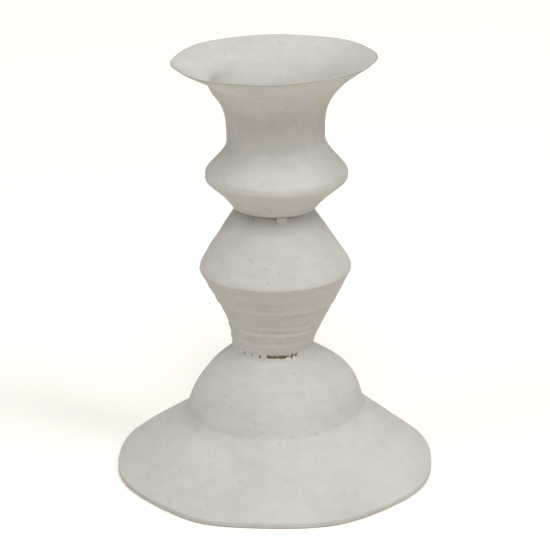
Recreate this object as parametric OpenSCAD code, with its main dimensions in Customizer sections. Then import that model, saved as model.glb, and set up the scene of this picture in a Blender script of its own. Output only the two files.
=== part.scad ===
// Candlestick for one taper candle. Thin sheet-metal shells, formed by hand, stand on one
// another and are pulled together by a bolt along the axis. Millimetres, +Z up, and the
// origin is the middle of the face that stands on the table.

/* [Base] */
// Radius of the base at its folded edge
base_r = 44.3; // [43:0.1:46]
// Height of the flat top of the base, where the drum stands
base_h = 35.1; // [34.6:0.1:36]
// Height of the short collar between the dome and that flat top
collar_h = 1.7; // [1.5:0.1:2.2]
// Thickness of the folded edge
hem_h = 1.7; // [1.5:0.1:2]
// Radius where the dome rises out of the skirt
foot_r = 24.3; // [23.5:0.1:25]
// Height where the dome rises out of the skirt
foot_h = 17; // [16:0.1:18]

/* [Drum] */
// Height of the drum
drum_h = 39; // [38:0.1:41]
// Radius of the drum at its crest
crest_r = 20.7; // [19.5:0.1:22]
// Height of the crest above the foot of the drum
crest_h = 22.3; // [21.5:0.1:23.5]

/* [Bell] */
// Height of the bell, from the upper joint to the highest point of its rim
bell_h = 41.6; // [40:0.1:43]
// Radius of the bead under the neck
bead_r = 19.2; // [18:0.1:20]
// Height of the bead's widest line above the upper joint
bead_h = 9.6; // [9.3:0.1:10.2]
// Radius of the rim
rim_r = 27.2; // [25:0.1:29]

/* [Candle socket] */
// Bore for the candle; a household taper is 22 mm across at its foot
bore_d = 22.6; // [22:0.1:22.8]
// Wall of the socket cup
cup_wall = 1; // [0.8:0.1:1.1]
// Depth from the mouth of the cup to its floor
cup_depth = 22; // [20:0.1:22.4]

/* [Sheet and joints] */
// Thickness of the sheet
sheet = 0.7; // [0.5:0.05:0.8]
// Radius of both joints between the shells
joint_r = 11.2; // [10.8:0.1:11.6]
// Bend radius where a wall turns in to its end disc
bend_r = 1; // [0.9:0.1:1.2]

/* [Bolt] */
// Diameter of the bolt
bolt_d = 5; // [4:0.5:5]
// Length of the bolt under its head
bolt_l = 50; // [50:1:55]

/* [Hidden] */
$fn = 96;

// Heights of the joints and of the widest lines
lower_joint = base_h;
crest_z = lower_joint + crest_h;
upper_joint = lower_joint + drum_h;
bead_z = upper_joint + bead_h;
rim_z = upper_joint + bell_h;

// The neck grips the socket cup with a tenth of a millimetre to spare
cup_gap = 0.1;
cup_r = bore_d/2 + cup_wall;
neck_r = cup_r + cup_gap + sheet;

// The cup stands on the floor of the bead bowl
cup_corner_r = 4.4;
cup_floor_z = upper_joint + sheet + cup_wall;
cup_mouth_z = cup_floor_z + cup_depth;

// Bolt hardware in the usual proportions for its diameter
hole_r = bolt_d/2 + 0.1;
head_r = bolt_d;
head_h = 0.6*bolt_d;
slot_w = 0.24*bolt_d;
slot_h = 0.5*head_h;
nut_af = 1.6*bolt_d;
nut_h = 0.8*bolt_d;
washer_r = 9;
washer_t = 1.2;
lock_r = 0.88*bolt_d;
lock_t = 1.2;
lock_gap = 1;

// Braze of the lower joint, tacks of the upper one
braze_r = 0.75;
tack_r = 1.4;
tack_angles = [-79, 41, 161];

// ---- Outlines: points are [radius, height] ----

// Points along a cubic curve from a to d with handles b and c, without a itself
function curve(a, b, c, d, n = 10) =
    [for (i = [1:n]) let (t = i/n, s = 1 - t) s*s*s*a + 3*s*s*t*b + 3*s*t*t*c + t*t*t*d];

// A step of length l at an angle from the horizontal
function step(l, angle) = l*[cos(angle), sin(angle)];

// Round bend where a flat disc at height z turns up or down into a wall that leaves at an angle
function bend(r, z, angle, n = 5) =
    let (turn = sign(angle), centre = [r - bend_r, z + turn*bend_r])
    [for (i = [0:n]) centre + bend_r*[sin(abs(angle)*i/n), -turn*cos(abs(angle)*i/n)]];

function left_of(a, b) = let (d = b - a) [-d[1], d[0]]/norm(d);

// The same path moved to its left by t, which is the other face of a bent sheet
function moved(path, t) =
    let (last = len(path) - 1)
    [for (i = [0:last])
        let (before = left_of(path[max(i - 1, 0)], path[max(i, 1)]),
             after = left_of(path[min(i, last - 1)], path[min(i + 1, last)]))
        path[i] + t*(before + after)/(1 + before*after)];

// Half circle that closes the end of a sheet whose faces end at a and b
function round_end(a, b, n = 6) =
    let (middle = (a + b)/2, from = a - middle, start = atan2(from[1], from[0]))
    [for (i = [1:n - 1]) middle + norm(from)*[cos(start + 180*i/n), sin(start + 180*i/n)]];

function backwards(path) = [for (i = [len(path) - 1:-1:0]) path[i]];

// Where two shells meet, the lower one is set inwards by its own thickness, and this tongue
// of it stands inside the first n stretches of the upper one
edge_h = 0.8;
function tongue(upper_path, n) = let (inside = moved(upper_path, sheet)) [for (i = [0:n]) inside[i]];

// Section of a sheet whose outer face follows the path, with square or rounded far end
function sheet_section(path, rounded = false) =
    let (other = moved(path, sheet), last = len(path) - 1)
    concat(path, rounded ? round_end(path[last], other[last]) : [], backwards(other));

// ---- Outer faces of the shells ----

// Skirt, foot, dome and collar of the base, from the folded edge up to the bolt hole
skirt_from = [base_r - 0.75, hem_h];
skirt_to = [foot_r + 1, foot_h - 1];
dome_from = [foot_r - 0.4, foot_h + 1.8];
dome_to = [joint_r + 0.1, base_h - collar_h];
function base_path() = concat(
    [skirt_from],
    curve(skirt_from, skirt_from + step(10, 138), skirt_to + step(6.5, -43), skirt_to, 14),
    curve(skirt_to, skirt_to + step(1.2, 136), dome_from + step(1.4, -73), dome_from, 6),
    curve(dome_from, dome_from + step(9, 107), dome_to + step(8.5, -33), dome_to, 14),
    backwards(bend(joint_r, base_h, -90)),
    [[hole_r, base_h]]);

// Lower half of the drum, from its bottom disc up to the crest
drum_wall_from = [joint_r, lower_joint + bend_r];
crest = [crest_r, crest_z];
crest_low = crest - [0.25, edge_h];
function drum_lower_path() = concat(
    [[hole_r, lower_joint]],
    bend(joint_r, lower_joint, 90),
    curve(drum_wall_from, drum_wall_from + step(7, 80), crest_low + step(12, -117), crest_low, 18),
    [crest],
    tongue(drum_upper_path(), 3));

// Upper half of the drum, from the crest up to its top disc
cone_angle = 57;
cone_top = [joint_r, upper_joint - bend_r];
crest_high = crest + [-0.1, edge_h];
function drum_upper_path() = concat(
    [crest, crest_high],
    curve(crest_high, crest_high + step(1.6, 100), cone_top + step(7, -cone_angle), cone_top, 12),
    backwards([for (i = [0:4]) bend(joint_r, upper_joint, -90)[i]]),
    [[hole_r, upper_joint]]);

// Lower half of the bead, from its floor up to its widest line
bowl_angle = 46;
bowl_bend = bend(joint_r, upper_joint, bowl_angle);
bowl_cone = bowl_bend[5] + step((bead_r - 1.6 - bowl_bend[5][0])/cos(bowl_angle), bowl_angle);
bead_line = [bead_r, bead_z];
bead_low = bead_line - [0, edge_h];
function bowl_path() = concat(
    [[hole_r, upper_joint]],
    bowl_bend,
    [bowl_cone],
    curve(bowl_cone, bowl_cone + step(1, bowl_angle), bead_low + step(0.8, -90), bead_low, 6),
    [bead_line],
    tongue(bell_path(), 3));

// Upper half of the bead, neck and flared rim
shoulder = [neck_r, bead_z + 10.4];
throat = [neck_r, bead_z + 12.4];
flare_angle = 34;
rim_edge = [rim_r - sheet/2, rim_z - sheet/2] + step(sheet/2, flare_angle - 90);
bead_high = bead_line + [0, edge_h];
function bell_path() = concat(
    [bead_line, bead_high],
    curve(bead_high, bead_high + step(2, 94), shoulder + step(4.6, -90), shoulder, 16),
    [throat],
    curve(throat, throat + step(7.4, 90), rim_edge - step(14, flare_angle), rim_edge, 20));

// ---- Shells ----

// Turns the section of a sheet round the axis
module shell(path, rounded = false) {
    rotate_extrude() polygon(sheet_section(path, rounded));
}

// Everything inside the outer face of a closed shell
module solid_within(path) {
    rotate_extrude() polygon(concat([[0, path[0][1]]], path, [[0, path[len(path) - 1][1]]]));
}

// The folded edge: a ring with a flat foot and a rounded outer side
module hem_ring() {
    round_r = 0.45*hem_h;
    rotate_extrude() polygon(concat(
        [[base_r - 3.4, 0]],
        [for (a = [-90:15:0]) [base_r - round_r, round_r] + step(round_r, a)],
        [for (a = [0:15:60]) [base_r - round_r, hem_h - round_r] + step(round_r, a)],
        [[base_r - 3.4, hem_h + 1.6]]));
}

module base_shell() {
    color("gainsboro") union() {
        shell(base_path());
        hem_ring();
    }
}

module drum_lower_cone() {
    color("gainsboro") shell(drum_lower_path());
}

module drum_upper_cone() {
    color("gainsboro") shell(drum_upper_path());
}

module bead_bowl() {
    color("gainsboro") shell(bowl_path());
}

module drip_bell() {
    color("gainsboro") shell(bell_path(), rounded = true);
}

// ---- Braze and tacks ----

// Crumbly ring of braze in the groove between the drum and the collar of the dome
module lower_joint_braze() {
    color("saddlebrown") difference() {
        rotate_extrude() translate([joint_r - 0.15, lower_joint]) circle(r = braze_r, $fn = 24);
        solid_within(drum_lower_path());
        solid_within(base_path());
    }
}

// Three tacks that bridge the groove of the upper joint
module upper_joint_tacks() {
    color("gainsboro") difference() {
        for (angle = tack_angles)
            rotate(angle) translate([joint_r - 0.5, 0, upper_joint]) sphere(r = tack_r, $fn = 32);
        solid_within(bowl_path());
        solid_within(drum_upper_path());
    }
}

// ---- Candle socket and bolt ----

// Drawn cup with a rounded lower corner and a hole for the bolt in its floor. The corner is
// as high as the bolt's head, so the straight bore for the candle starts above the head.
module candle_socket() {
    corner = [cup_r - cup_corner_r, cup_floor_z - cup_wall + cup_corner_r];
    lip_r = cup_wall/2;
    color("silver") rotate_extrude() polygon(concat(
        [[hole_r, cup_floor_z - cup_wall]],
        [for (a = [-90:10:0]) corner + step(cup_corner_r, a)],
        [for (a = [0:30:180]) [cup_r - lip_r, cup_mouth_z - lip_r] + step(lip_r, a)],
        [for (a = [0:-10:-90]) corner + step(cup_corner_r - cup_wall, a)],
        [[hole_r, cup_floor_z]]));
}

module tie_bolt() {
    head_z = cup_floor_z;
    color("silver") difference() {
        union() {
            translate([0, 0, head_z - bolt_l]) cylinder(d = bolt_d, h = bolt_l + 0.5*head_h);
            translate([0, 0, head_z]) cylinder(r = head_r, h = 0.6*head_h);
            translate([0, 0, head_z + 0.6*head_h]) cylinder(r1 = head_r, r2 = 0.8*head_r, h = 0.4*head_h);
        }
        translate([-2*head_r, -slot_w/2, head_z + head_h - slot_h]) cube([4*head_r, slot_w, 2*slot_h]);
    }
}

// ---- Nut and washers under the dome ----

under_dome = base_h - sheet;

module spreader_washer() {
    color("silver") translate([0, 0, under_dome - washer_t]) difference() {
        cylinder(r = washer_r, h = washer_t);
        translate([0, 0, -1]) cylinder(r = hole_r, h = washer_t + 2);
    }
}

// Spring washer, open at one side
module lock_washer() {
    color("silver") translate([0, 0, under_dome - washer_t - lock_t]) difference() {
        cylinder(r = lock_r, h = lock_t);
        translate([0, 0, -1]) cylinder(r = hole_r, h = lock_t + 2);
        translate([0, -lock_gap/2, -1]) cube([2*lock_r, lock_gap, lock_t + 2]);
    }
}

module hex_nut() {
    color("silver") translate([0, 0, under_dome - washer_t - lock_t - nut_h]) difference() {
        cylinder(d = nut_af/cos(30), h = nut_h, $fn = 6);
        translate([0, 0, -1]) cylinder(d = bolt_d + 0.05, h = nut_h + 2);
    }
}

drip_bell();
bead_bowl();
candle_socket();
tie_bolt();
upper_joint_tacks();
drum_upper_cone();
drum_lower_cone();
lower_joint_braze();
base_shell();
spreader_washer();
lock_washer();
hex_nut();
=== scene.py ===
# %% [markdown]
# # A limewashed candlestick of sheet metal
# The real thing is made of five thin steel shells that stand on one another. A bolt down the
# axis pulls them together, and a chalky off-white limewash covers everything that shows.
# This lesson rebuilds each piece as a surface worked out with numpy, on the CAD model's
# sizes, and then gives it the unevenness and the finish of a thing made by hand.

import math

import bmesh
import bpy
import numpy as np
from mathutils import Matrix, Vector


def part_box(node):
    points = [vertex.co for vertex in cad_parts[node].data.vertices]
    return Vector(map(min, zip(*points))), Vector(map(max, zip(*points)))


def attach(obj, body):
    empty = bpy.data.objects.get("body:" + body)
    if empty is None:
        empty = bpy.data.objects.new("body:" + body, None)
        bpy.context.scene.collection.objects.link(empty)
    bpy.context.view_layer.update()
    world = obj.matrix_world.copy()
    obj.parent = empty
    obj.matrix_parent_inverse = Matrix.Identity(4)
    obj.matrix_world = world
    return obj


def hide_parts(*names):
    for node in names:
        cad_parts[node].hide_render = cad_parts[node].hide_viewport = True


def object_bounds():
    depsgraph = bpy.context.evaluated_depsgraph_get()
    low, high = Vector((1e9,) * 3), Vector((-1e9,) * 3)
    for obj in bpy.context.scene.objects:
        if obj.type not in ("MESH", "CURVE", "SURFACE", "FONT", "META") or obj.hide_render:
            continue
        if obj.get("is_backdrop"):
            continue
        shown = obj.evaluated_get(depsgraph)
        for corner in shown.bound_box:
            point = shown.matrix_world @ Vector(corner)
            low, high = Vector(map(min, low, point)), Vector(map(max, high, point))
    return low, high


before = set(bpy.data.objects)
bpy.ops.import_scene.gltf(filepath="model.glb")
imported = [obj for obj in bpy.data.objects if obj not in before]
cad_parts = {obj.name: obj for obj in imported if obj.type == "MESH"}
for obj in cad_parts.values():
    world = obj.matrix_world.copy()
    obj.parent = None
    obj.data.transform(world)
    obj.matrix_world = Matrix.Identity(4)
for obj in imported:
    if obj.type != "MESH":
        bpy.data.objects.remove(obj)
cad_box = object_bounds()
MM = 0.001
print("CAD box in mm:", [[round(v / MM, 2) for v in corner] for corner in cad_box])

# %% [markdown]
# ## Sizes
# Every shell is turned round the same axis, so a few heights and radii fix them all. They
# are read from the boxes of the CAD nodes. Only the thickness of the sheet and the radius of
# the two joints are written again, because no box shows them.

# %% Heights and radii
def lowest(node):
    """The corner of the node's box with the smallest x, y and z."""
    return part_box(node)[0]


def highest(node):
    """The corner of the node's box with the largest x, y and z."""
    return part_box(node)[1]


SHEET = 0.7 * MM
base_r = highest("base_shell").x
lower_joint = highest("base_shell").z
crest_z = lowest("drum_upper_cone").z
crest_r = highest("drum_upper_cone").x
upper_joint = highest("drum_upper_cone").z
bead_z = lowest("drip_bell").z
bead_r = highest("bead_bowl").x
neck_r = highest("candle_socket").x + 0.1 * MM + SHEET
rim_z = highest("drip_bell").z
rim_r = highest("drip_bell").x
joint_r = 11.2 * MM
heights = {"lower joint": lower_joint, "crest": crest_z, "upper joint": upper_joint}
heights |= {"bead": bead_z, "rim": rim_z}
radii = {"base": base_r, "crest": crest_r, "bead": bead_r, "neck": neck_r, "rim": rim_r}
print("heights in mm:", {name: round(v / MM, 2) for name, v in heights.items()})
print("radii in mm:", {name: round(v / MM, 2) for name, v in radii.items()})

# %% [markdown]
# ## Outlines
# A turned piece starts as an outline: points of radius and height. An outline is put
# together from smooth curves, arcs and straight stretches, and the second face of the sheet
# is the same outline moved sideways by the thickness.

# %% Helpers for outlines
def step(length, degrees):
    """A move of that length at an angle from the horizontal: (length cos, length sin)."""
    turn = math.radians(degrees)
    return length * np.array([math.cos(turn), math.sin(turn)])


def curve(a, b, c, d, spacing=0.3 * MM):
    """Cubic curve: (1-t)^3 a + 3(1-t)^2 t b + 3(1-t) t^2 c + t^3 d, about one point per spacing."""
    a, b, c, d = (np.array(p, float) for p in (a, b, c, d))
    length = sum(np.linalg.norm(q - p) for p, q in ((a, b), (b, c), (c, d)))
    t = np.linspace(0, 1, max(3, math.ceil(length / spacing)))[:, None]
    s = 1 - t
    return s**3 * a + 3 * s * s * t * b + 3 * s * t * t * c + t**3 * d


def arc(centre, radius, start, end, points=7):
    """Points at centre + radius (cos, sin), as the angle in degrees goes from start to end."""
    turn = np.radians(np.linspace(start, end, points))[:, None]
    return np.array(centre) + radius * np.hstack([np.cos(turn), np.sin(turn)])


def line(a, b, spacing=0.5 * MM):
    """Evenly spaced points from a to b."""
    a, b = np.array(a, float), np.array(b, float)
    return a + (b - a) * np.linspace(0, 1, max(2, math.ceil(np.linalg.norm(b - a) / spacing)))[:, None]


def joined(*stretches):
    """The stretches end to end, without points that fall on the one before."""
    path = np.vstack([np.atleast_2d(s) for s in stretches])
    moves = np.linalg.norm(np.diff(path, axis=0), axis=1)
    return path[np.r_[True, moves > 1e-6]]


def other_face(path, thickness=SHEET):
    """Each point moved left by the thickness: p + n t, with n the unit normal (-dz, dr)."""
    along = np.gradient(path, axis=0)
    along /= np.linalg.norm(along, axis=1)[:, None]
    return path + thickness * np.column_stack([-along[:, 1], along[:, 0]])


def unknotted(face, path, thickness=SHEET):
    """The points of the second face that keep 0.95 of the thickness from the first, and both
    ends: inside a bend tighter than the sheet is thick, the others would make a knot."""
    gap = np.linalg.norm(face[:, None] - path[None], axis=2).min(axis=1)
    clear = gap > 0.95 * thickness
    clear[[0, -1]] = True
    return face[clear]


def thinned(path, every=3):
    """Every third point, and always the last one: enough for a face that hardly shows."""
    return np.vstack([path[:-1:every], path[-1:]])


def way_back(path, whole):
    """The second face of a path that is all or part of a whole face, thinned and run backwards."""
    return thinned(unknotted(other_face(path), whole)[::-1])


print("a bend of 1 mm has", len(arc([0, 0], 1 * MM, 0, 90)), "points")

# %% [markdown]
# ## Unevenness
# The shells were spun and beaten by hand. The rim leans, the outlines of rim and foot are
# soft octagons, and the faces are a little lumpy. All pieces go through one function of
# place, so neighbours stay in contact however much they are bent.

# %% Helpers for the unevenness
rng = np.random.default_rng(11)
WAVES = [(rng.normal(size=3), rng.uniform(8, 26) * MM, rng.uniform(0, 2 * np.pi)) for _ in range(26)]


def smooth(x, start, end):
    """0 before start, 1 after end, and 3t^2 - 2t^3 between."""
    t = np.clip((x - start) / (end - start), 0, 1)
    return t * t * (3 - 2 * t)


def lumps(x, y, z):
    """Sum of plane waves, cos(2 pi n.p / length + phase), seeded, about -1 to 1."""
    total = 0
    for way, length, phase in WAVES:
        way = way / np.linalg.norm(way)
        total = total + np.cos(2 * np.pi * (way[0] * x + way[1] * y + way[2] * z) / length + phase)
    return total / 6


# Height, shift along X and rise of the right side, in mm
KEYS = [
    (0, 0, 0), (9, 0.4, 0), (14, 1.5, 0), (18, 0.3, 0.1), (26, 0.8, 0.1), (35.1, -0.6, 0),
    (44, 0.35, 0.1), (57.4, 0.1, 0.3), (64, 0, 0), (74.1, -0.2, -0.2), (83.7, 0.3, 0.2),
    (94, 0.2, 0.85), (102, 0.1, 0.7), (115.7, -0.35, 0.8),
]
HEIGHTS, SHIFTS, LEANS = np.array(KEYS).T * MM
# Knocked-out corners of the foot: turn in degrees, depth in mm, sharpness
KNOCKED = [(244, 0.9, 40), (292, 0.5, 30)]


def eased(z, values):
    """Values at the key heights, with smooth steps between them."""
    i = np.clip(np.searchsorted(HEIGHTS, z) - 1, 0, len(HEIGHTS) - 2)
    t = smooth(z, HEIGHTS[i], HEIGHTS[i + 1])
    return values[i] * (1 - t) + values[i + 1] * t


def hollow(z, centre, width):
    """exp(-((z - centre) / width)^2), all in millimetres."""
    return np.exp(-(((z / MM - centre) / width) ** 2))


def side(theta, degrees, power):
    """cos(theta - degrees) where that is above 0, to a power: 1 on one side, 0 on the other."""
    return np.clip(np.cos(theta - math.radians(degrees)), 0, 1) ** power


def by_hand(r, theta, z):
    """Where the hand-made piece has the point that a lathe would put at (r, theta, z).

    Radius times 1 + a cos 8(theta - t) makes the soft octagons of foot and rim, lumps push
    along the radius, and each height is shifted along X and tilted about Y. Two corners of
    the foot are knocked out, the skirt swells a little under the dome on the right, and the
    flare is pinched under the low side of the rim."""
    low = 1 - smooth(z, 9 * MM, 16 * MM)
    foot = smooth(r, 24 * MM, 43 * MM) * low
    rim = smooth(z, rim_z - 15 * MM, rim_z)
    corner = sum(
        depth * MM * foot * np.exp(sharpness * (np.cos(theta - math.radians(turn)) - 1))
        for turn, depth, sharpness in KNOCKED
    )
    octagon = 0.006 * foot * np.cos(8 * (theta - math.radians(20)))
    octagon += 0.009 * rim * np.cos(8 * (theta - math.radians(2)))
    wide = -0.005 * foot * np.cos(2 * theta + 0.2) + 0.003 * rim * np.cos(3 * theta - 0.4)
    pinch = 2.4 * MM * hollow(z, 110.4, 2.6) * side(theta, 180, 2)
    swell = 0.7 * MM * hollow(z, 10.3, 2.0) * side(theta, 20, 3)
    calm = 1 - 0.75 * hollow(z, lower_joint / MM, 2) - 0.75 * hollow(z, upper_joint / MM, 2)
    bumpy = 0.1 * MM * calm * smooth(r, 4 * MM, 11 * MM) * smooth(z, 0, 3 * MM)
    bumps = bumpy * lumps(r * np.cos(theta), r * np.sin(theta), z)
    r = r * (1 + octagon + wide) + corner + swell - pinch + bumps
    lean = eased(z, LEANS) * np.cos(theta) * np.clip(r / (20 * MM), 0, 1)
    back = 0.3 * MM * rim * side(theta, 135, 3)
    x = r * np.cos(theta) + eased(z, SHIFTS)
    return x, r * np.sin(theta) - 0.1 * MM * foot, z + lean + back


level = np.linspace(0, 2 * np.pi, 64)
rim_heights = by_hand(rim_r, level, rim_z + 0 * level)[2]
print("the rim rises and falls by mm:", round(np.ptp(rim_heights) / MM, 2))


# %% [markdown]
# ## Turning
# A closed outline carried round the axis gives a closed shell with no poles. A few values
# go with each point of the outline, and are kept as attributes of the mesh: how bare the
# sheet is there, and how dark its edges are made: wear at the lip of the base, and painted
# shade, a thin dark line, at the edge of the drip rim.

# %% Helpers for turning
def into_mesh(name, points, faces, material, body="root"):
    """A new object with these points and faces, smooth but for sharp edges, riding on a body."""
    mesh = bpy.data.meshes.new(name)
    mesh.from_pydata(points.reshape(-1, 3), [], faces)
    mesh.update()
    mesh.shade_smooth()
    mesh.set_sharp_from_angle(angle=math.radians(50))
    piece = bpy.data.objects.new(name, mesh)
    bpy.context.scene.collection.objects.link(piece)
    mesh.materials.append(material)
    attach(piece, body)
    return piece


def ring_faces(rows, columns, closed_rows=True, closed_columns=True):
    """Four-sided faces of a grid of points, which closes along its rows and round its columns."""
    i = np.arange(rows if closed_rows else rows - 1)[:, None]
    j = np.arange(columns if closed_columns else columns - 1)[None, :]
    here, above = i * columns, (i + 1) % rows * columns
    j2 = (j + 1) % columns
    corners = np.broadcast_arrays(here + j, here + j2, above + j2, above + j)
    return np.stack(corners, -1).reshape(-1, 4).tolist()


def keep(piece, label, values):
    """Keeps one value for each point of the piece, for its material to read."""
    data = piece.data.attributes.new(label, "FLOAT", "POINT").data
    data.foreach_set("value", np.asarray(values, np.float32).ravel())


def turned(name, outline, material, bent=by_hand, around=256, **values):
    """The outline at radius r and height z, turned by theta = 2 pi j / around, then bent."""
    theta = np.linspace(0, 2 * np.pi, around, endpoint=False)[None, :]
    r, z = outline[:, :1], outline[:, 1:]
    x, y, z = np.broadcast_arrays(*bent(r, theta, z))
    piece = into_mesh(name, np.stack([x, y, z], -1), ring_faces(len(outline), around), material)
    for label, value in values.items():
        keep(piece, label, np.repeat(value, around))
    print(f"{name}: {len(outline)} x {around} points, {len(piece.data.polygons)} faces")
    return piece


# %% [markdown]
# ## Shader sums
# A material is mostly arithmetic on patterns. This small class wraps the output of a shader
# node, so that a sum such as (1 - mask) * grain is written as it reads and adds its own
# Math nodes.

# %% A class for shader sums
class Knob:
    """An output of a shader node, with + - * and the rest adding Math nodes to its tree."""

    def __init__(self, tree, socket=None):
        self.tree, self.socket = tree, socket

    def add(self, kind, inputs=None, out=0, **settings):
        """A new node: its settings first, then its inputs from numbers, colours or Knobs."""
        node = self.tree.nodes.new("ShaderNode" + kind)
        for name, value in settings.items():
            setattr(node, name, value)
        for name, value in (inputs or {}).items():
            if isinstance(value, Knob):
                self.tree.links.new(value.socket, node.inputs[name])
            else:
                node.inputs[name].default_value = value
        return Knob(self.tree, node.outputs[out])

    def maths(self, operation, *values, **settings):
        """A Math node that does this with the values."""
        return self.add("Math", dict(enumerate(values)), operation=operation, **settings)

    def __add__(self, other):
        return self.maths("ADD", self, other)

    def __radd__(self, other):
        return self.maths("ADD", other, self)

    def __sub__(self, other):
        return self.maths("SUBTRACT", self, other)

    def __rsub__(self, other):
        return self.maths("SUBTRACT", other, self)

    def __mul__(self, other):
        return self.maths("MULTIPLY", self, other)

    def __rmul__(self, other):
        return self.maths("MULTIPLY", other, self)

    def between(self, low, high):
        """0 below low, 1 above high, smooth between."""
        inputs = {0: self, 1: low, 2: high, 3: 0.0, 4: 1.0}
        return self.add("MapRange", inputs, interpolation_type="SMOOTHSTEP", clamp=True)

    def blend(self, first, second):
        """The first colour where this is 0, the second where it is 1."""
        first = (*first, 1) if isinstance(first, tuple) else first
        second = (*second, 1) if isinstance(second, tuple) else second
        return self.add("Mix", {0: self, 6: first, 7: second}, out=2, data_type="RGBA")


class Recipe(Knob):
    """A material with its Principled shader, and the patterns that its finish is mixed from."""

    def __init__(self, name, roughness, specular, metallic=0.0):
        self.material = bpy.data.materials.new(name)
        self.material.use_nodes = True
        super().__init__(self.material.node_tree)
        self.shader = self.tree.nodes["Principled BSDF"]
        self.shader.inputs["Roughness"].default_value = roughness
        self.shader.inputs["Specular IOR Level"].default_value = specular
        self.shader.inputs["Metallic"].default_value = metallic
        self.place = self.add("TexCoord", out="Object")

    def set(self, socket, value):
        self.tree.links.new(value.socket, self.shader.inputs[socket])

    def noise(self, size, detail=2.0, roughness=0.5, at=None, stretch=0.0):
        """Noise with blobs about that many metres across, 0 to 1."""
        inputs = {"Vector": at or self.place, "Scale": 1 / size, "Detail": detail}
        inputs |= {"Roughness": roughness, "Distortion": stretch}
        return self.add("TexNoise", inputs)

    def attribute(self, name):
        return self.add("Attribute", out="Fac", attribute_name=name)

    def axis(self, letter):
        """One coordinate of the place on the object, in metres."""
        return self.add("SeparateXYZ", {0: self.place}, out="XYZ".index(letter))

    def lathe_place(self, round_scale=0.12):
        """Place with the way round the axis shrunk, so that a pattern on it is drawn out into rings."""
        x, y, z = (self.axis(letter) for letter in "XYZ")
        r = self.maths("SQRT", x * x + y * y)
        inputs = {0: x * round_scale, 1: y * round_scale, 2: z + r * 0.35}
        return self.add("CombineXYZ", inputs)

    def bump(self, height, strength=1.0):
        """Height in metres, as a normal."""
        self.set("Normal", self.add("Bump", {"Height": height, "Strength": strength, "Distance": 1.0}))


print("besides sums, a knob can:", [name for name in vars(Knob) if not name.startswith("_")])

# %% [markdown]
# ## Limewash
# Limewash is lime and water, brushed on thin. It dries to a dead matt, slightly grainy skin,
# greyer where it is thin and warmer where the steel has bled into it. Its tone hardly
# changes over a hand's breadth, so the mottling is kept faint, and what makes it read as
# lime is the grain in the bump.

# %% The limewash
def limewash():
    m = Recipe("limewash", roughness=0.92, specular=0.25)
    clouds = m.noise(24 * MM, 2)
    mottle = m.noise(5 * MM, 4, 0.6)
    dabs = m.noise(2.2 * MM, 3, 0.55, stretch=0.6)
    grain = m.noise(0.4 * MM, 3, 0.7)
    rings = m.noise(1.3 * MM, 3, 0.5, at=m.lathe_place())
    tone = clouds * 0.4 + mottle * 0.25 + dabs * 0.2 + rings * 0.15
    colour = tone.between(0.37, 0.63).blend((0.430, 0.407, 0.381), (0.489, 0.467, 0.441))
    pits = m.noise(2.1 * MM, 2, 0.5).between(0.63, 0.74) * mottle.between(0.42, 0.56)
    colour = (pits * 0.32).blend(colour, (0.30, 0.275, 0.25))
    specks = m.noise(0.8 * MM, 1).between(0.74, 0.78)
    colour = (specks * 0.5).blend(colour, (0.56, 0.545, 0.52))
    # Dark edges: the lip of the base where it is worn, and painted shade, a thin dark line, at the edge
    # of the drip rim.
    worn = (m.attribute("worn") * (0.35 + dabs) * 1.1).between(0.62, 0.86)
    colour = (worn * 0.6).blend(colour, (0.28, 0.255, 0.225))
    bled = (m.attribute("bled") * (0.3 + mottle * 1.2)).between(0.35, 0.8)
    colour = (bled * 0.5).blend(colour, (0.60, 0.52, 0.38))
    bare = (m.attribute("bare") + (mottle - 0.5) * 0.9).between(0.35, 0.65)
    steel = (dabs * 0.6 + clouds * 0.4).between(0.35, 0.65)
    steel = steel.blend((0.115, 0.098, 0.085), (0.215, 0.198, 0.18))
    rust = (m.noise(3.5 * MM, 5, 0.7).between(0.56, 0.66)).blend(steel, (0.16, 0.072, 0.03))
    m.set("Base Color", bare.blend(colour, rust))
    m.set("Metallic", bare * 0.45)
    m.set("Roughness", 0.90 + (grain - 0.5) * 0.12 - bare * 0.35)
    height = grain * 0.03 + dabs * 0.06 + mottle * 0.10 + rings * 0.05 - pits * 0.10 + specks * 0.03
    m.bump(height * MM, 0.8)
    return m.material


lime = limewash()
print("limewash:", len(lime.node_tree.nodes), "nodes")

# %% [markdown]
# ## Where the lime has broken off
# Along the front of the lower joint the lime has flaked, and rust has bled a little onto the
# dome beneath. The base and the braze both ask this function how far, all the way round.

# %% Share of the joint laid bare
def front_share(theta, right=13):
    """1 from 7 degrees left of the front to `right` degrees right of it, and smoothly down
    to 0 over the next 6 degrees on both sides."""
    turn = np.degrees(np.arctan2(np.sin(theta + np.pi / 2), np.cos(theta + np.pi / 2)))
    return smooth(turn, -13, -7) * (1 - smooth(turn, right, right + 6))


WAY_ROUND = np.linspace(0, 2 * np.pi, 256, endpoint=False)[None, :]
print("share of the way round laid bare:", round(float(front_share(WAY_ROUND).mean()), 2))

# %% [markdown]
# ## The base
# Collar, dome, sloping skirt and folded edge are one sheet, spun over a form. The edge is
# folded inwards and hammered down to a rounded lip, so that it stands flat and doesn't cut.
# The outline runs from the lip up over the skirt and the dome to the bolt hole on the
# outside, and back on the inside.

# %% Outline and shell of the base
mean_r = base_r - 0.35 * MM
skirt_foot = np.array([mean_r - 0.17 * MM, 1.62 * MM])
skirt_head = np.array([25.3, 16.0]) * MM
dome_foot = np.array([23.9, 18.8]) * MM
dome_head = np.array([joint_r + 0.2 * MM, lower_joint - 1.35 * MM])
bend = 0.3 * MM
hole_r = 2.6 * MM
lip_r = 0.5 * MM

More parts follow.
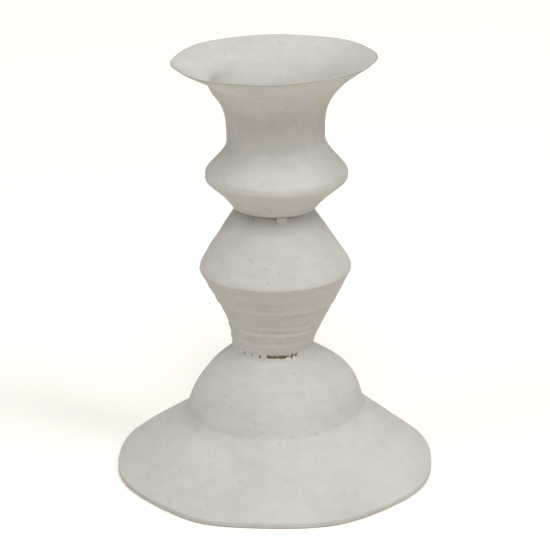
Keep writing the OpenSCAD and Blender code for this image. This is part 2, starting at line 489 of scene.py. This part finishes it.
outer = joined(
    arc([mean_r - lip_r, lip_r], lip_r, -90, 0, 8),
    line([mean_r, 0.7 * MM], [mean_r, 1.05 * MM], 0.2 * MM),
    arc([mean_r - lip_r, 1.25 * MM], lip_r, 0, 42, 6),
    curve(
        skirt_foot, skirt_foot + step(10 * MM, 139.5),
        skirt_head + step(7.2 * MM, -46.5), skirt_head,
    ),
    curve(skirt_head, skirt_head + step(1.2 * MM, 136), dome_foot + step(1.4 * MM, -73), dome_foot),
    curve(dome_foot, dome_foot + step(9 * MM, 107), dome_head + step(8 * MM, -36), dome_head),
    line(dome_head, [joint_r - 0.05 * MM, lower_joint - bend], 0.3 * MM),
    arc([joint_r - 0.05 * MM - bend, lower_joint - bend], bend, 0, 90, 5),
    line([joint_r - 0.05 * MM - bend, lower_joint], [hole_r, lower_joint], 1 * MM),
)
skirt = outer[outer[:, 1] > 1.6 * MM]
inner = way_back(skirt, skirt)
fold = joined(
    line(inner[-1] - [0.1 * MM, 0], [base_r - 3.2 * MM, 1.02 * MM], 0.4 * MM),
    arc([base_r - 3.3 * MM, 0.5 * MM], 0.5 * MM, 90, 270, 9),
)
outline = joined(outer, inner, fold)
over_fold = np.linspace(0.9, 0.25, len(fold))
inside = np.r_[np.zeros(len(outer)), np.ones(len(inner)), over_fold][: len(outline)]
inside = inside * smooth(mean_r - outline[:, 0], 1 * MM, 14 * MM)
lip_wear = 0.6 * hollow(outline[:, 1], 0, 0.9) * smooth(outline[:, 0], base_r - 4 * MM, base_r - 1 * MM)
base = turned("base_skin", outline, lime, bare=inside, worn=lip_wear)
collar = hollow(outline[:, 1:], (lower_joint / MM) - 0.6, 0.35) * (outline[:, :1] > joint_r - 0.3 * MM)
near_joint = collar * front_share(WAY_ROUND, 28)
keep(base, "bled", near_joint)
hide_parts("base_shell")

# %% [markdown]
# ## The drum
# Two cones joined at the crest. They were spun, and the tool left rings on them: soft ridges
# and grooves, up to a quarter of a millimetre high and never quite level. Where the cones
# meet, the lower one is set in by the thickness of the sheet and stands inside the upper.

# %% Rings left by the spinning tool
# Height, width and depth in mm
RINGS = [
    (69.0, 0.7, 0.05), (66.2, 1.0, -0.07), (62.8, 0.6, 0.06), (60.4, 0.8, -0.08),
    (55.0, 0.5, -0.22), (52.6, 0.9, 0.12), (48.9, 0.6, 0.26), (47.2, 0.9, -0.16),
    (44.2, 0.5, -0.12), (42.2, 0.4, -0.18), (41.0, 0.5, 0.1), (38.8, 0.4, -0.1), (37.6, 0.5, 0.06),
]


def ringed(r, theta, z):
    """by_hand, after each ring added depth exp(-((z - height) / width)^2) to the radius.

    The rings dip on the way round and fade towards the back: height and depth follow cosines."""
    low = z + 0.18 * MM * np.cos(theta - 0.9)
    fade = 0.6 + 0.5 * np.cos(theta + 1.9)
    extra = sum(depth * np.exp(-(((low / MM - height) / width) ** 2)) for height, width, depth in RINGS)
    return by_hand(r + extra * fade * MM, theta, z)


print("rings:", len(RINGS))

# %% [markdown]
# Each cone is one smooth curve between two ends. The lower one flares like a bell and the
# upper one is nearly straight, so both are cubic curves with handles at the ends.

# %% Outlines of the two cones
crest = np.array([crest_r - 0.1 * MM, crest_z])
crest_low, crest_high = crest - [0.25 * MM, 0.6 * MM], crest + [-0.1 * MM, 0.6 * MM]
foot_r = joint_r - 0.12 * MM
drum_foot = np.array([foot_r, lower_joint + bend])
low_face = joined(
    line([hole_r, lower_joint], [foot_r - bend, lower_joint], 1 * MM),
    arc([foot_r - bend, lower_joint + bend], bend, -90, 0),
    curve(drum_foot, drum_foot + step(7 * MM, 81), crest_low + step(12 * MM, -117), crest_low),
    crest,
)
cone_end = np.array([joint_r - 0.8 * MM - bend, upper_joint + 0.08 * MM - bend])
cone_top = arc(cone_end, bend, 33, 90)
high_face = joined(
    crest,
    curve(crest_high, crest_high + step(1.8 * MM, 103), cone_top[0] + step(8 * MM, -57), cone_top[0]),
    cone_top,
    line(cone_top[-1], [8 * MM, upper_joint], 0.6 * MM),
    line([8 * MM, upper_joint], [hole_r, upper_joint], 1 * MM),
)
tongue = other_face(high_face)[:6]
low_outline = joined(low_face, tongue, other_face(tongue)[::-1], way_back(low_face[:-2], low_face))
high_outline = joined(high_face, way_back(high_face, high_face))
print("round the sections:", len(low_outline), "and", len(high_outline), "points")

# %% [markdown]
# The lime was only brushed on outside, so the inner faces are marked as bare steel. The
# tool rings go into the places of the points, and so they catch the light like the real ones.

# %% The two cones
def on_inside(outline, face):
    """1 on the points of a closed outline that come after its outer face, else 0."""
    return (np.arange(len(outline)) >= len(face)).astype(float)


low_bare, high_bare = on_inside(low_outline, low_face), on_inside(high_outline, high_face)
lower_cone = turned("drum_lower_skin", low_outline, lime, ringed, bare=low_bare)
upper_cone = turned("drum_upper_skin", high_outline, lime, ringed, bare=high_bare)
for piece, node in ((lower_cone, "drum_lower_cone"), (upper_cone, "drum_upper_cone")):
    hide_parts(node)

# %% [markdown]
# ## Bead, neck and drip rim
# The lower half of the bead is a bowl with a flat floor. The upper half, the neck and the
# flared rim are one sheet, drawn up and beaten out, and thinned towards its edge.

# %% Outlines of bowl and bell
bead_line = np.array([bead_r - 0.2 * MM, bead_z])
bead_under, bead_over = bead_line - [0, 0.3 * MM], bead_line + [0, 0.3 * MM]
bowl_bend = arc([joint_r + 0.1 * MM - bend, upper_joint + 0.45 * MM + bend], bend, -90, -40)
bowl_turn = bead_line - [1.0 * MM, 2.2 * MM]
bowl_face = joined(
    line([hole_r, upper_joint], [8 * MM, upper_joint], 1 * MM),
    line([8 * MM, upper_joint], bowl_bend[0], 0.6 * MM),
    bowl_bend,
    curve(bowl_bend[-1], bowl_bend[-1] + step(3 * MM, 56), bowl_turn + step(3.5 * MM, -139), bowl_turn),
    curve(bowl_turn, bowl_turn + step(1.1 * MM, 42), bead_line - [0, 1.2 * MM], bead_under),
    bead_line,
)
bell_turn = bead_line + [-1.6 * MM, 2.9 * MM]
shoulder = np.array([neck_r - 0.05 * MM, bead_z + 9.9 * MM])
throat = np.array([neck_r - 0.05 * MM, bead_z + 12.4 * MM])
rim = np.array([rim_r - 0.25 * MM, rim_z - 1.25 * MM])
bell_face = joined(
    bead_line,
    curve(bead_over, bead_line + [0, 1.2 * MM], bell_turn + step(1.1 * MM, -50), bell_turn),
    curve(bell_turn, bell_turn + step(3.2 * MM, 130), shoulder + step(2.6 * MM, -90), shoulder),
    line(shoulder, throat, 0.5 * MM),
    curve(throat, throat + step(7.4 * MM, 90), rim - step(14 * MM, 34), rim),
)
thickness = SHEET - 0.28 * MM * smooth(bell_face[:, 1], rim_z - 6 * MM, rim_z - 1 * MM)[:, None]
bell_back = other_face(bell_face, thickness)
edge = (bell_face[-1] + bell_back[-1]) / 2
edge_r = np.linalg.norm(bell_face[-1] - edge)
edge_turn = math.degrees(math.atan2(*(bell_face[-1] - edge)[::-1]))
bell_outline = joined(bell_face, arc(edge, edge_r, edge_turn, edge_turn + 180, 7), bell_back[::-1])
bowl_tongue = bell_back[:6]
bowl_back = way_back(bowl_face[:-2], bowl_face)
bowl_outline = joined(bowl_face, bowl_tongue, other_face(bowl_tongue)[::-1], bowl_back)
print("round the sections:", len(bowl_outline), "and", len(bell_outline), "points")

# %% [markdown]
# The bell is bare only below the mouth of the socket, where no brush reaches, and its thin
# edge is darkened with painted shade: a thin dark line where the edge turns down. A shallow
# crease shows where the bowl was folded up from its floor.

# %% Bowl and bell
def folded(r, theta, z):
    """by_hand, after a crease of depth 0.15 mm exp(-((z - 78.3) / 0.4)^2), shallower at the back."""
    depth = 0.15 * MM * (0.6 + 0.4 * np.cos(theta + 1.9))
    return by_hand(r - depth * hollow(z, 78.3, 0.4), theta, z)


below_socket = smooth(highest("candle_socket").z + 0.5 * MM - bell_outline[:, 1], 0, 2 * MM)
bell_bare = on_inside(bell_outline, bell_face) * below_socket
# Painted shade: a thin dark line along the edge of the drip rim, where the edge turns down.
rim_edge_shade = np.exp(-((np.linalg.norm(bell_outline - edge, axis=1) / (0.32 * MM)) ** 2)) * 1.5
bowl = turned("bead_bowl_skin", bowl_outline, lime, folded, bare=on_inside(bowl_outline, bowl_face))
bell = turned("drip_bell_skin", bell_outline, lime, bare=bell_bare, worn=rim_edge_shade)
for piece, node in ((bowl, "bead_bowl"), (bell, "drip_bell")):
    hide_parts(node)

# %% [markdown]
# ## Lumps: tacks, drips and crumbs
# A tack is a drop of filler metal across a joint, and a crumb is what is left where the
# lime has broken off. Both are round blobs pushed out of shape, so both start from the same
# ball and one pair of sums.

# %% Balls pushed out of shape
def ball(subdivisions):
    """Points and faces of a unit ball made of nearly equal triangles."""
    source = bpy.data.meshes.new("ball")
    shape = bmesh.new()
    bmesh.ops.create_icosphere(shape, subdivisions=subdivisions, radius=1)
    shape.to_mesh(source)
    points = np.empty(len(source.vertices) * 3)
    source.vertices.foreach_get("co", points)
    faces = np.empty(len(source.loops), int)
    source.loops.foreach_get("vertex_index", faces)
    bpy.data.meshes.remove(source)
    shape.free()
    return points.reshape(-1, 3), faces.reshape(-1, 3)


def blobs(unit, centres, sizes, turns, roughness, seed):
    """Copies of the unit ball: radius 1 + roughness times a few cosines of the direction,
    stretched to sizes (out, across, up), turned about Z and moved to centres."""
    dice = np.random.default_rng(seed)
    waves = dice.normal(size=(len(centres), 5, 3)) * 1.7
    phases = dice.uniform(0, 2 * np.pi, (len(centres), 5, 1))
    swell = 1 + roughness * np.cos(np.einsum("nwk,pk->nwp", waves, unit) + phases).mean(1) * 2
    local = unit[None] * swell[..., None] * sizes[:, None]
    c, s = np.cos(turns)[:, None], np.sin(turns)[:, None]
    x = local[..., 0] * c - local[..., 1] * s
    y = local[..., 0] * s + local[..., 1] * c
    return np.stack([x, y, local[..., 2]], -1) + centres[:, None]


def copies(faces, points_each, count):
    """The ball's triangles over and over, each time with the next ball's points."""
    return (faces[None] + points_each * np.arange(count)[:, None, None]).reshape(-1, 3).tolist()


print("a ball has", [len(part) for part in ball(4)], "points and faces, a small one", len(ball(2)[0]))

# %% [markdown]
# One tack sits a little right of the front and bridges the dark line of the upper joint, two
# hold it at the back, and a small drip of lime hangs at the left. All are limed over.

# %% Tacks of the upper joint
tack_turns = np.radians([-80, 41, 161, -122])
tack_sizes = np.array([[0.7, 1.4, 1.2], [0.75, 1.3, 1.1], [0.75, 1.2, 1.2], [0.3, 0.4, 0.6]]) * MM
tack_r = np.array([11.0, 11.0, 11.0, 11.4]) * MM
tack_z = upper_joint + np.array([-0.05, 0, 0, -1.1]) * MM
tack_x, tack_y, tack_z = by_hand(tack_r, tack_turns, tack_z)
unit, unit_faces = ball(4)
points = blobs(unit, np.stack([tack_x, tack_y, tack_z], -1), tack_sizes, tack_turns, 0.12, 3)
tacks = into_mesh("tack_lumps", points, copies(unit_faces, len(unit), 4), lime)
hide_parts("upper_joint_tacks")
print("tacks:", len(tacks.data.polygons), "faces")

# %% [markdown]
# ## Rusty braze at the lower joint
# Braze fills the groove between the drum and the collar of the dome all the way round. The
# lime holds on most of it, but in front it has broken off and shows rust-brown crumbs.

# %% The rusty braze material
def rusty_braze():
    m = Recipe("rusty_braze", roughness=0.9, specular=0.3)
    grain = m.noise(0.35 * MM, 4, 0.7)
    patch = m.noise(1.2 * MM, 3, 0.6)
    brown = patch.between(0.35, 0.65).blend((0.055, 0.04, 0.028), (0.16, 0.115, 0.072))
    ochre = grain.between(0.55, 0.75).blend(brown, (0.32, 0.245, 0.15))
    kept = (m.attribute("limed") + (patch - 0.5) * 1.6).between(0.35, 0.55)
    m.set("Base Color", kept.blend(ochre, (0.48, 0.458, 0.425)))
    m.set("Roughness", 0.85 + (grain - 0.5) * 0.2)
    m.bump((grain * 0.12 + patch * 0.15) * MM, 0.9)
    return m.material


rust = rusty_braze()
print("rusty braze:", len(rust.node_tree.nodes), "nodes")

# %% [markdown]
# The braze is a ring sunk in the groove, so only its outer side shows. Its section swells and
# shrinks on the way round, as metal does that ran in and froze.

# %% The ring of braze
braze_centre = np.array([joint_r - 0.38 * MM, lower_joint])


def crumbly(r, theta, z):
    """The ring's section swollen by 0.74 plus cosines of the turn, and a little more in front."""
    swell = 0.74 + 0.16 * np.cos(7 * theta + 1) * np.cos(4 * theta)
    swell = swell + 0.12 * np.cos(23 * theta) + 0.12 * front_share(theta)
    r2 = braze_centre[0] + (r - braze_centre[0]) * swell
    z2 = braze_centre[1] + (z - braze_centre[1]) * swell
    rough = 0.10 * MM * np.cos(61 * theta + r / (0.2 * MM)) * np.cos(37 * theta + z / (0.23 * MM))
    return by_hand(r2 + rough, theta, z2 + rough * 0.5)


ring = arc(braze_centre, 0.5 * MM, -180, 160, 18)
theta = np.linspace(0, 2 * np.pi, 512, endpoint=False)
braze = turned("braze_ring", ring, rust, crumbly, 512)
keep(braze, "limed", np.broadcast_to(1 - 0.8 * front_share(theta, 20), (len(ring), 512)))

# %% [markdown]
# Crumbs of braze stand out where the lime fell off: most of them close together in front, a
# few further round on both sides. They are small copies of the ball, placed by dice.

# %% Crumbs along the front of the joint
dice = np.random.default_rng(5)
count = 52
# Degrees from the front at which the crumbs gather, and the share of them at each
spread = dice.choice([4, 27, 34, -18, -30, -43], count, p=[0.74, 0.08, 0.06, 0.02, 0.05, 0.05])
spread = spread + np.where(spread == 4, dice.uniform(-13, 14, count), dice.normal(0, 1, count))
crumb_turns = np.radians(spread - 90)
crumb_r = joint_r + dice.uniform(-0.15, 0.15, count) * MM
crumb_z = lower_joint + dice.uniform(-0.3, 0.3, count) * MM
crumb_sizes = dice.uniform(0.1, 0.3, (count, 1)) * dice.uniform(0.7, 1.3, (count, 3)) * MM
centres = np.stack(by_hand(crumb_r, crumb_turns, crumb_z), -1)
small, small_faces = ball(2)
points = blobs(small, centres, crumb_sizes, crumb_turns, 0.3, 8)
crumbs = into_mesh("braze_crumbs", points, copies(small_faces, len(small), count), rust)
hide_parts("lower_joint_braze")
print("crumbs:", count)

# %% [markdown]
# ## Steel of the socket and the bolt
# The socket is a drawn steel cup, dull from wax and warm air. The bolt, nut and washers are
# zinc plated, with a little white bloom. Both are one recipe with other colours.

# %% Two steels
def dull_steel(name, bright, dark, bloom, ring_size):
    """Steel between a bright and a dark tone, with spots of bloom and fine turning rings."""
    m = Recipe(name, roughness=0.5, specular=0.5, metallic=0.85)
    cloud = m.noise(6 * MM, 4, 0.6)
    grain = m.noise(0.3 * MM, 2, 0.6)
    rings = m.noise(ring_size, 3, 0.6, at=m.lathe_place(0.05))
    tone = (cloud * 0.7 + rings * 0.3).between(0.35, 0.65).blend(dark, bright)
    spots = m.noise(1.4 * MM, 4, 0.7).between(0.6, 0.7)
    m.set("Base Color", (spots * 0.6).blend(tone, bloom))
    m.set("Metallic", 0.85 - spots * 0.6)
    m.set("Roughness", 0.42 + cloud * 0.2 + spots * 0.25)
    m.bump((rings * 0.02 + grain * 0.012 + spots * 0.02) * MM, 0.7)
    return m.material


waxed = [(0.36, 0.345, 0.32), (0.20, 0.185, 0.165), (0.26, 0.20, 0.13)]
plated = [(0.46, 0.46, 0.45), (0.30, 0.30, 0.29), (0.42, 0.40, 0.36)]
cup_steel = dull_steel("socket_steel", *waxed, 0.5 * MM)
zinc = dull_steel("zinc_steel", *plated, 0.4 * MM)
print("steels:", len(cup_steel.node_tree.nodes), "nodes each")

# %% [markdown]
# ## The candle socket
# A cup drawn from flat sheet: round lower corner, straight wall and a small rolled lip.

# %% The cup
cup_low, cup_high = lowest("candle_socket").z, highest("candle_socket").z
cup_r, cup_wall, corner = highest("candle_socket").x, 1.0 * MM, 4.4 * MM
cup_face = joined(
    line([hole_r, cup_low], [cup_r - corner, cup_low], 0.6 * MM),
    arc([cup_r - corner, cup_low + corner], corner, -90, 0, 16),
    line([cup_r, cup_low + corner], [cup_r, cup_high - cup_wall / 2], 0.8 * MM),
)
cup_outline = joined(
    cup_face,
    arc([cup_r - cup_wall / 2, cup_high - cup_wall / 2], cup_wall / 2, 0, 180, 9),
    line([cup_r - cup_wall, cup_high - cup_wall / 2], [cup_r - cup_wall, cup_low + corner], 0.8 * MM),
    arc([cup_r - corner, cup_low + corner], corner - cup_wall, 0, -90, 14),
    line([cup_r - corner, cup_low + cup_wall], [hole_r, cup_low + cup_wall], 0.6 * MM),
)
cup = turned("socket_cup", cup_outline, cup_steel, around=160)
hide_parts("candle_socket")

# %% [markdown]
# ## Bolt, nut and washers
# The thread is a helix: on the grid of height and turn the radius follows a triangle wave
# of height over pitch minus turn. The nut is the smaller of a hexagon and a chamfer cone.

# %% The bolt
bolt_low, bolt_high = lowest("tie_bolt").z, highest("tie_bolt").z
bolt_r, head_r, head_h, pitch = 2.5 * MM, 5.0 * MM, 3.0 * MM, 0.8 * MM
head_low = bolt_high - head_h
thread_end = bolt_low + 22 * MM


def true_round(r, theta, z):
    """A lathe's own place for a point: (r cos, r sin, z), with nothing bent."""
    return r * np.cos(theta), r * np.sin(theta), z


def threaded(r, theta, z):
    """Radius less depth times the triangle wave |2 frac(z / pitch - turn) - 1|, on the shank
    below the end of the thread."""
    wave = np.abs(2 * ((z / pitch - theta / (2 * np.pi)) % 1) - 1)
    on_shank = (r > 2.2 * MM) * (r < 2.6 * MM) * (1 - smooth(z, thread_end - 1 * MM, thread_end))
    return true_round(r - 0.45 * MM * wave * on_shank, theta, z)


head_side, head_top = [head_r, head_low + 1.5 * MM], [3.4 * MM, bolt_high]
head_bend = [head_r, bolt_high - 0.6 * MM], [head_r - 0.7 * MM, bolt_high]
bolt_outline = joined(
    [[1.6 * MM, bolt_low]],
    [[bolt_r - 0.25 * MM, bolt_low + 0.5 * MM]],
    line([bolt_r, bolt_low + 0.6 * MM], [bolt_r, thread_end], 0.1 * MM),
    line([bolt_r, thread_end], [bolt_r, head_low], 3 * MM),
    arc([head_r - 0.3 * MM, head_low + 0.3 * MM], 0.3 * MM, -90, 0, 4),
    curve(head_side, *head_bend, head_top, 0.25 * MM),
    [[1.5 * MM, bolt_high]],
)


def solid_turned(name, outline, material, bent, around):
    """Like turned, but the outline is open and its two ends are closed with flat caps."""
    theta = np.linspace(0, 2 * np.pi, around, endpoint=False)[None, :]
    x, y, z = np.broadcast_arrays(*bent(outline[:, :1], theta, outline[:, 1:]))
    last = (len(outline) - 1) * around
    caps = [list(range(around))[::-1], list(range(last, last + around))]
    faces = ring_faces(len(outline), around, closed_rows=False) + caps
    piece = into_mesh(name, np.stack([x, y, z], -1), faces, material)
    print(f"{name}: {len(piece.data.polygons)} faces")
    return piece


bolt = solid_turned("bolt_body", bolt_outline, zinc, threaded, 64)

# %% [markdown]
# A saw cuts the slot, so here a thin block is taken away from the head with a Boolean, whose
# result replaces the mesh.

# %% The slot in its head
slot_w, slot_h = 1.2 * MM, 1.5 * MM
across = np.array([[x, y, z] for z in (-1, 1) for y in (-1, 1) for x in (-1, 1)], float)
across = across * [8 * MM, slot_w / 2, slot_h] + [0, 0, bolt_high]
sides = [(0, 2, 3, 1), (4, 5, 7, 6), (0, 1, 5, 4), (2, 6, 7, 3), (0, 4, 6, 2), (1, 3, 7, 5)]
cutter = into_mesh("slot_cutter", across, sides, zinc)
cut = bolt.modifiers.new("slot", "BOOLEAN")
cut.operation, cut.solver, cut.object = "DIFFERENCE", "EXACT", cutter
seen = bolt.evaluated_get(bpy.context.evaluated_depsgraph_get())
bolt.data = bpy.data.meshes.new_from_object(seen)
bolt.modifiers.clear()
bpy.data.objects.remove(cutter)
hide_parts("tie_bolt")
print("slotted bolt:", len(bolt.data.polygons), "faces")

# %% [markdown]
# The nut is turned like everything else, but its radius is held back to a hexagon. Sloping
# lines at the bottom and the top of its outline chamfer the corners.

# %% Nut and washers
nut_low, nut_high = lowest("hex_nut").z, highest("hex_nut").z
flat = highest("hex_nut").y
point = flat / math.cos(math.radians(30))


def hexagonal(r, theta, z):
    """Outside: the smaller of r and the hexagon flat / cos(turn from the middle of a side)."""
    hexagon = flat / np.cos((theta % (math.pi / 3)) - math.pi / 6)
    return true_round(np.where(r > 3 * MM, np.minimum(r, hexagon), r), theta, z)


chamfer = line([3.7 * MM, 0], [point + 0.05 * MM, 0.5 * MM], 0.12 * MM)
nut_outline = joined(
    [[2.75 * MM, nut_low]],
    chamfer + [0, nut_low],
    (chamfer * [1, -1] + [0, nut_high])[::-1],
    [[2.75 * MM, nut_high]],
    line([2.3 * MM, nut_high - 0.4 * MM], [2.3 * MM, nut_low + 0.4 * MM], 0.4 * MM),
)
nut = turned("nut_body", nut_outline, zinc, hexagonal, 192)
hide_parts("hex_nut")


def ring_section(r_in, r_out, z_low, z_high, radius):
    """A rectangle with rounded corners, going up on the outside."""
    return joined(
        arc([r_out - radius, z_low + radius], radius, -90, 0, 5),
        arc([r_out - radius, z_high - radius], radius, 0, 90, 5),
        arc([r_in + radius, z_high - radius], radius, 90, 180, 5),
        arc([r_in + radius, z_low + radius], radius, 180, 270, 5),
    )


washer_low, washer_high = lowest("spreader_washer").z, highest("spreader_washer").z
washer_r = highest("spreader_washer").x
washer_section = ring_section(hole_r, washer_r, washer_low, washer_high, 0.25 * MM)
washer = turned("washer_body", washer_section, zinc, true_round, 128)
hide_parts("spreader_washer")

# %% [markdown]
# The lock washer is the same kind of ring with a gap, so its grid stays open between its two
# ends, and each end gets a flat face.

# %% The split washer
lock_low, lock_high = lowest("lock_washer").z, highest("lock_washer").z
section = ring_section(hole_r, -lowest("lock_washer").x, lock_low, lock_high, 0.12 * MM)
rows, columns = len(section), 90
turns = np.linspace(math.radians(7), math.radians(353), columns)[None, :]
x, y, z = np.broadcast_arrays(*true_round(section[:, :1], turns, section[:, 1:]))
first_end = np.arange(rows) * columns
ends = [first_end.tolist(), (first_end + columns - 1)[::-1].tolist()]
faces = ring_faces(rows, columns, closed_columns=False) + ends
split = into_mesh("split_washer", np.stack([x, y, z], -1), faces, zinc)
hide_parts("lock_washer")
print("nut, washer and split washer:", [len(p.data.polygons) for p in (nut, washer, split)])

# %% [markdown]
# ## Floor
# Pale, slightly warm paper, so large that its edge never shows. It throws warm light back
# up, which is what colours the undersides of the bead and the rim.

# %% Floor
def floor_paper():
    m = Recipe("floor_paper", roughness=0.9, specular=0.1)
    tone = m.noise(0.5, 2).between(0.3, 0.7)
    m.set("Base Color", tone.blend((0.875, 0.83, 0.775), (0.885, 0.84, 0.785)))
    return m.material


reach = 4.0
corners = np.array([[-reach, -reach, 0], [reach, -reach, 0], [reach, reach, 0], [-reach, reach, 0]])
floor_mesh = bpy.data.meshes.new("floor")
floor_mesh.from_pydata(corners, [], [(0, 1, 2, 3)])
floor = bpy.data.objects.new("floor", floor_mesh)
bpy.context.scene.collection.objects.link(floor)
floor_mesh.materials.append(floor_paper())
floor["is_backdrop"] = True
print("floor:", 2 * reach, "m wide")

# %% [markdown]
# ## Light
# Three soft lights stand above the viewer's side: the front one gives the domes their bright
# tops, and the right one is stronger than the left, which turns the round forms. A fourth,
# behind, keeps the floor white. Warm, weak light from all round fills the shadows.

# %% Lights
scene = bpy.context.scene
scene.view_settings.view_transform = "Standard"
world = bpy.data.worlds.new("studio")
scene.world = world
world.use_nodes = True
world.node_tree.nodes["Background"].inputs["Color"].default_value = (1.0, 0.955, 0.85, 1)
world.node_tree.nodes["Background"].inputs["Strength"].default_value = 0.27


def soft_light(name, turn, height, distance, width, power, aim):
    """A square area light, seen from aim at turn degrees from +X and height degrees up."""
    light = bpy.data.lights.new(name, "AREA")
    light.shape, light.size, light.energy, light.color = "SQUARE", width, power, (0.955, 0.985, 0.995)
    lamp = bpy.data.objects.new(name, light)
    scene.collection.objects.link(lamp)
    turn, height = math.radians(turn), math.radians(height)
    out = math.cos(height)
    way = Vector((math.cos(turn) * out, math.sin(turn) * out, math.sin(height)))
    lamp.location = Vector(aim) + distance * way
    lamp.rotation_euler = way.to_track_quat("Z", "Y").to_euler()
    return lamp


middle = (0, 0, rim_z * 0.6)
soft_light("left", -150, 50, 2.5, 1.0, 16, middle)
soft_light("right", -30, 50, 2.5, 1.0, 26, middle)
soft_light("front", -88, 56, 2.5, 1.0, 34, middle)
soft_light("behind", 90, 75, 1.6, 1.6, 12, (0, 0.7, 0))
print("lights:", len(bpy.data.lights), "soft, and the world")

# %% [markdown]
# ## Camera
# A long lens a little over half a metre away, looking down by about twenty degrees, so that
# the rim and the foot show as ellipses.

# %% Camera
distance, height, pitch_down = 0.5698, 0.2570, 19.55
sensor_mm, focal_mm = 36, 146.0
lens = bpy.data.cameras.new("camera")
lens.sensor_width, lens.lens = sensor_mm, focal_mm
camera = bpy.data.objects.new("camera", lens)
camera.location = (0, -distance, height)
camera.rotation_euler = (math.radians(90 - pitch_down), 0, 0)
scene.collection.objects.link(camera)
scene.camera = camera
print("camera", round(distance, 3), "m away,", pitch_down, "degrees down")

# %% Sizes and finish
size_boxes = {"cad": cad_box, "visual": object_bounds()}
for name, box in size_boxes.items():
    print(name, [[round(v / MM, 2) for v in corner] for corner in box])
